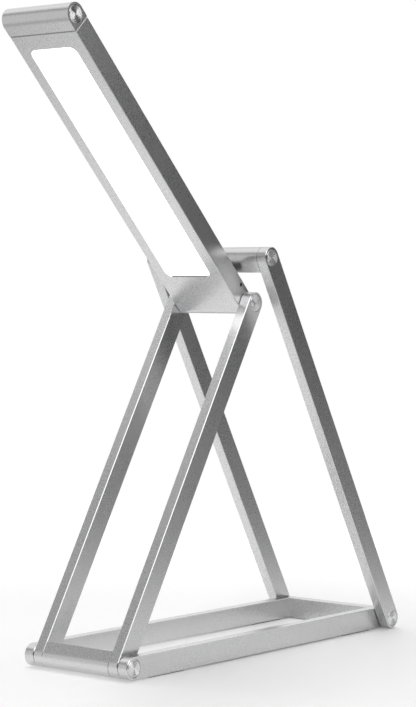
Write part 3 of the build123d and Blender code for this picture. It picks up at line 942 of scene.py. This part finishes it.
@dataclass(frozen=True)
class SoftBox:
    """A flat studio light, which the metal mirrors unless it is only there for the floor."""

    name: str
    place: Point
    width: float
    height: float
    power: float
    mirrored: bool = True

    def hang(self, target: Vector) -> None:
        """Make the light and aim it.

        Args:
            target: The point that it faces.
        """
        data = bpy.data.lights.new(self.name, "AREA")
        data.shape = "RECTANGLE"
        data.size = self.width
        data.size_y = self.height
        data.energy = self.power
        light = bpy.data.objects.new(self.name, data)
        light.location = self.place
        light.visible_glossy = self.mirrored
        light.rotation_euler = (target - Vector(self.place)).to_track_quat("-Z", "Y").to_euler()
        bpy.context.scene.collection.objects.link(light)


@dataclass(frozen=True)
class Floor:
    """The round pale table top under the lamp."""

    radius: float = 0.85
    segments: int = 128

    def build(self) -> None:
        """Make the table top."""
        mesh = bmesh.new()
        bmesh.ops.create_circle(mesh, cap_ends=True, radius=self.radius, segments=self.segments)
        data = bpy.data.meshes.new("floor")
        mesh.to_mesh(data)
        mesh.free()
        floor = bpy.data.objects.new("floor", data)
        bpy.context.scene.collection.objects.link(floor)
        put_finishes(floor, PAPER)


@dataclass(frozen=True)
class Room:
    """The studio round the lamp, which is white to the camera on every side.

    The metal shows a white backdrop behind the lamp, with grey over it and paler overhead. To the front right
    it shows a dim room with a pale far floor and a canopy. Each span gives where a level starts and ends to
    change, as the share of a direction that points to one side or up.
    """

    wall_side: Point = (-0.45, 0.89, 0.0)
    wall_span: Span = (-0.35, 0.15)
    behind: Point = (0.787, 0.617, 0.0)
    behind_span: Span = (-0.2, 0.9)
    plain_level: float = 0.8
    left_level: float = 0.68
    upper_level: float = 0.23
    upper_span: Span = (0.38, 0.62)
    canopy_level: float = 0.42
    canopy_span: Span = (0.6, 0.7)
    dim_level: float = 0.01
    front_upper_level: float = 0.09
    front_upper_span: Span = (0.0, 0.2)
    front_canopy_level: float = 0.75
    front_canopy_span: Span = (0.42, 0.6)
    far_floor_level: float = 0.47
    far_floor_span: Span = (-0.15, -0.03)

    def build(self) -> None:
        """Paint the surroundings."""
        world = bpy.data.worlds.new("studio_room")
        world.use_nodes = True
        bpy.context.scene.world = world
        graph = Graph(world.node_tree)
        way = graph.add("ShaderNodeTexCoord").outputs["Generated"]
        up = graph.add("ShaderNodeSeparateXYZ", {0: way}).outputs["Z"]
        camera, mirrored = graph.rays()
        wall = self._wall(graph, way, up, graph.math("MAXIMUM", camera, mirrored))
        walled = graph.ramp(graph.vector("DOT_PRODUCT", way, self.wall_side), *self.wall_span, 0.0, 1.0)
        level = graph.blend(self._front(graph, up, mirrored), wall, walled)
        shown = graph.math("MAXIMUM", level, camera)
        background = world.node_tree.nodes["Background"]
        grey = graph.add("ShaderNodeCombineColor", dict.fromkeys(range(3), shown))
        graph.feed(background.inputs["Color"], grey.outputs[0])
        background.inputs["Strength"].default_value = 1.0

    def _wall(self, graph: Graph, way: Value, up: Value, seen: Value) -> bpy.types.NodeSocket:
        """Shade the side of the backdrop.

        Args:
            graph: The world's nodes.
            way: The direction.
            up: Its upward share.
            seen: The mark of rays from the camera and of mirrored ones.

        Returns:
            The level of that side.
        """
        white = graph.math("MULTIPLY_ADD", seen, 1.0 - self.plain_level, self.plain_level)
        turned = graph.vector("DOT_PRODUCT", way, self.behind)
        even = graph.ramp(turned, *self.behind_span, self.left_level, 1.0)
        raised = graph.ramp(up, *self.upper_span, 0.0, 1.0)
        canopy = graph.ramp(up, *self.canopy_span, self.upper_level, self.upper_level + self.canopy_level)
        return graph.blend(graph.math("MULTIPLY", white, even), canopy, raised)

    def _front(self, graph: Graph, up: Value, mirrored: Value) -> bpy.types.NodeSocket:
        """Shade the dim side, whose canopy only mirrored rays meet.

        Args:
            graph: The world's nodes.
            up: The direction's upward share.
            mirrored: The mark of mirrored rays.

        Returns:
            The level of that side.
        """
        far_floor = graph.ramp(up, *self.far_floor_span, self.far_floor_level, 0.0)
        above = graph.ramp(up, *self.front_upper_span, self.dim_level, self.front_upper_level)
        canopy = graph.ramp(up, *self.front_canopy_span, 0.0, self.front_canopy_level)
        return graph.math("MULTIPLY_ADD", mirrored, canopy, graph.math("ADD", far_floor, above))


@dataclass(frozen=True)
class Studio:
    """The floor, the room and the soft boxes, which all face the lamp's middle."""

    floor: Floor = Floor()
    room: Room = Room()
    target: Point = (0.0, 0.0, 0.2)
    boxes: tuple[SoftBox, ...] = (
        SoftBox("overhead_box", (0.35, 0.15, 2.2), 1.6, 1.6, 21.0, mirrored=False),
        SoftBox("back_box", (0.22, 1.15, 1.4), 1.9, 1.2, 3.0),
        SoftBox("front_box", (-0.6, -1.25, 1.25), 1.2, 1.0, 3.9),
        SoftBox("side_box", (0.7, -1.44, 0.38), 0.48, 0.8, 1.9),
    )

    def build(self) -> None:
        """Make the floor, the surroundings and the lights."""
        self.floor.build()
        self.room.build()
        for box in self.boxes:
            box.hang(Vector(self.target))


@dataclass(frozen=True)
class Viewpoint:
    """The photograph's camera."""

    place: Point = (-1.067404, -0.837414, 0.228375)
    yaw: float = -52.053
    pitch: float = -1.546
    roll: float = 0.438
    focal_pixels: float = 2102.77
    long_side_pixels: float = 707.0
    sensor: float = 36.0
    clip_start: float = 0.01

    def build(self) -> None:
        """Make the camera and choose it."""
        data = bpy.data.cameras.new("photo_camera")
        data.sensor_width = self.sensor
        data.lens = self.focal_pixels * self.sensor / self.long_side_pixels
        data.clip_start = self.clip_start
        camera = bpy.data.objects.new("photo_camera", data)
        heading = Matrix.Rotation(math.radians(self.yaw), 4, "Z")
        nod = Matrix.Rotation(math.radians(90 + self.pitch), 4, "X")
        lean = Matrix.Rotation(math.radians(self.roll), 4, "Z")
        camera.matrix_world = Matrix.Translation(self.place) @ heading @ nod @ lean
        bpy.context.scene.collection.objects.link(camera)
        bpy.context.scene.camera = camera


@dataclass(frozen=True)
class FoldingLamp:
    """The whole lamp, frame by frame."""

    bars: tuple[BarFrame, ...] = (
        BarFrame(("base_rail_near", "base_rail_far"), 0.0),
        BarFrame(("front_leg_near", "front_leg_far"), FRONT_LEAN),
        BarFrame(("rear_leg_near", "rear_leg_far"), REAR_LEAN),
        HeadHousing(),
        BarFrame(("head_back_cover",), HEAD_LEAN),
        BarFrame(("base_cross_bar",), HALF_TURN, square_end=True),
        BarFrame(("front_cross_bar",), FRONT_LEAN, square_end=True),
        BarFrame(("rear_cross_bar",), REAR_LEAN - HALF_TURN, square_end=True),
        BarFrame(("head_end_cap",), HEAD_LEAN - HALF_TURN, square_end=True),
    )
    discs: tuple[TurnedDiscs, ...] = (
        TurnedDiscs("front_hinge_caps", "base"),
        TurnedDiscs("rear_hinge_caps", "rear_frame"),
        TurnedDiscs("rear_bar_caps", "rear_frame"),
        TurnedDiscs("head_hinge_caps", "front_frame"),
        TurnedDiscs("end_cap_discs", "head"),
    )
    screws: CoverScrews = CoverScrews()
    plain: tuple[PlainPieces, ...] = (
        PlainPieces(STEEL, ("base_dowels", "front_dowels", "rear_dowels", "rear_bar_screws")),
        PlainPieces(STEEL, ("front_hinge_pins", "rear_hinge_pins", "head_hinge_pins")),
        PlainPieces(STEEL, ("front_hinge_springs", "rear_hinge_springs", "head_hinge_springs")),
        PlainPieces(STEEL, ("cover_screws", "end_cap_screws", "carrier_screws", "board_screws")),
        PlainPieces(BUSH, ("front_hinge_bushes", "rear_hinge_bushes")),
        PlainPieces(BUSH, ("head_hinge_bushes", "head_pivot_bushes")),
        PlainPieces(RUBBER, ("base_feet",)),
        PlainPieces(SEAL, ("end_cap_gasket",)),
        PlainPieces(OPAL, ("diffuser",)),
        PlainPieces(ACRYLIC, ("light_guide",)),
        PlainPieces(WHITE, ("reflector_sheet", "light_carrier")),
        PlainPieces(BOARD, ("led_strips", "control_board")),
        PlainPieces(LED, ("leds",)),
        PlainPieces(FOIL, ("battery_cell",)),
        PlainPieces(SOCKET, ("charging_socket",)),
        PlainPieces(SATIN, tuple(disc.node for disc in discs)),
    )

    def build(self) -> None:
        """Dress the lamp's own pieces, then make the turned discs and the screws."""
        for group in (*self.plain, *self.bars):
            group.dress()
        for disc in self.discs:
            disc.build()
        lean = math.radians(HEAD_LEAN)
        self.screws.build(Vector((math.sin(lean), 0.0, -math.cos(lean))))


def main() -> None:
    """Build the lamp, its studio and its camera."""
    logging.basicConfig(level=logging.INFO, format="%(message)s")
    bpy.context.scene.view_settings.view_transform = "Standard"
    Viewpoint().build()
    Studio().build()
    FoldingLamp().build()


if __name__ == "__main__":
    main()
